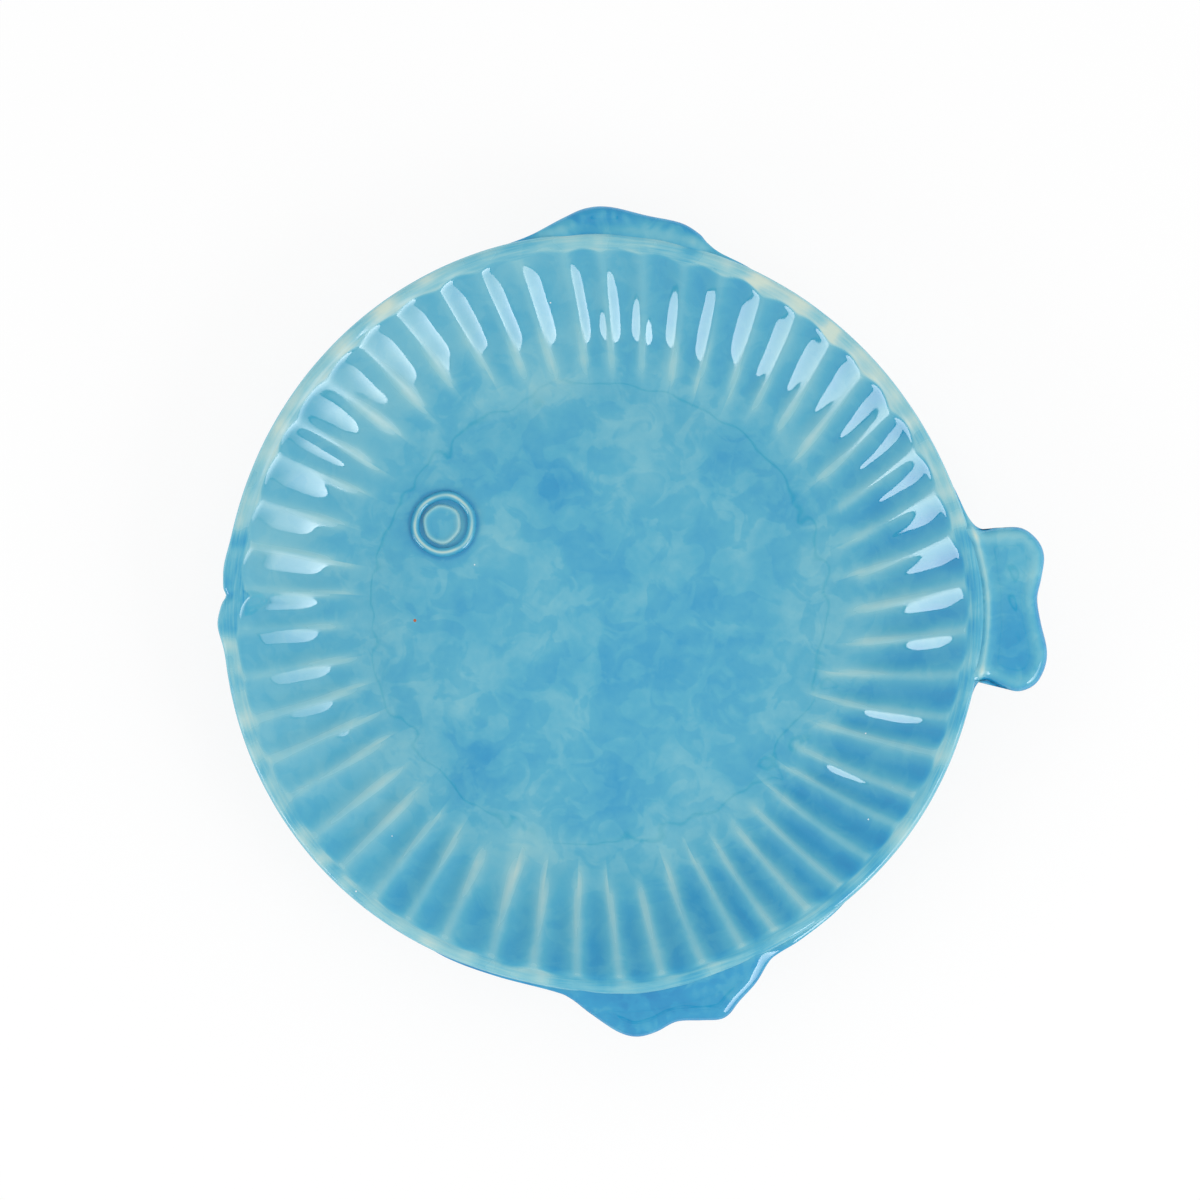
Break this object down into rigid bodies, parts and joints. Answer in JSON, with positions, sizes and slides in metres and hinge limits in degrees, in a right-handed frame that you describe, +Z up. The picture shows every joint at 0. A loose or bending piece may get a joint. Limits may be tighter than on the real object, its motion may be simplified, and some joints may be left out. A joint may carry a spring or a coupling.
{
  "type": "salad plate",
  "caption": "Fish-shaped salad plate: a round glazed stoneware dish with a fluted wall, a foot ring, fins and a tail on the rim and a raised eye in the well.",
  "frame": {"origin": "on the table, under the middle of the plate's outer box", "axes": "+X from the mouth to the tail, +Y towards the dorsal fin, +Z up out of the dish"},
  "size_m": [0.2306, 0.2312, 0.027],
  "materials": {
    "turquoise_glaze": "glossy turquoise glaze, thin and pale on the ridges, deep blue where it pools",
    "fin_glaze": "the same glaze, pooled in the dished fins",
    "eye_glaze": "the same glaze, thin and pale on the raised edges of the eye",
    "bare_clay": "bare cream stoneware, matt"
  },
  "bodies": {
    "root": {"plate_body": "turquoise_glaze", "foot_ring": "bare_clay", "dorsal_fin": "fin_glaze", "ventral_fin": "fin_glaze", "tail_fin": "fin_glaze", "eye_ring": "eye_glaze", "eye_pupil": "eye_glaze"}
  },
  "joints": []
}
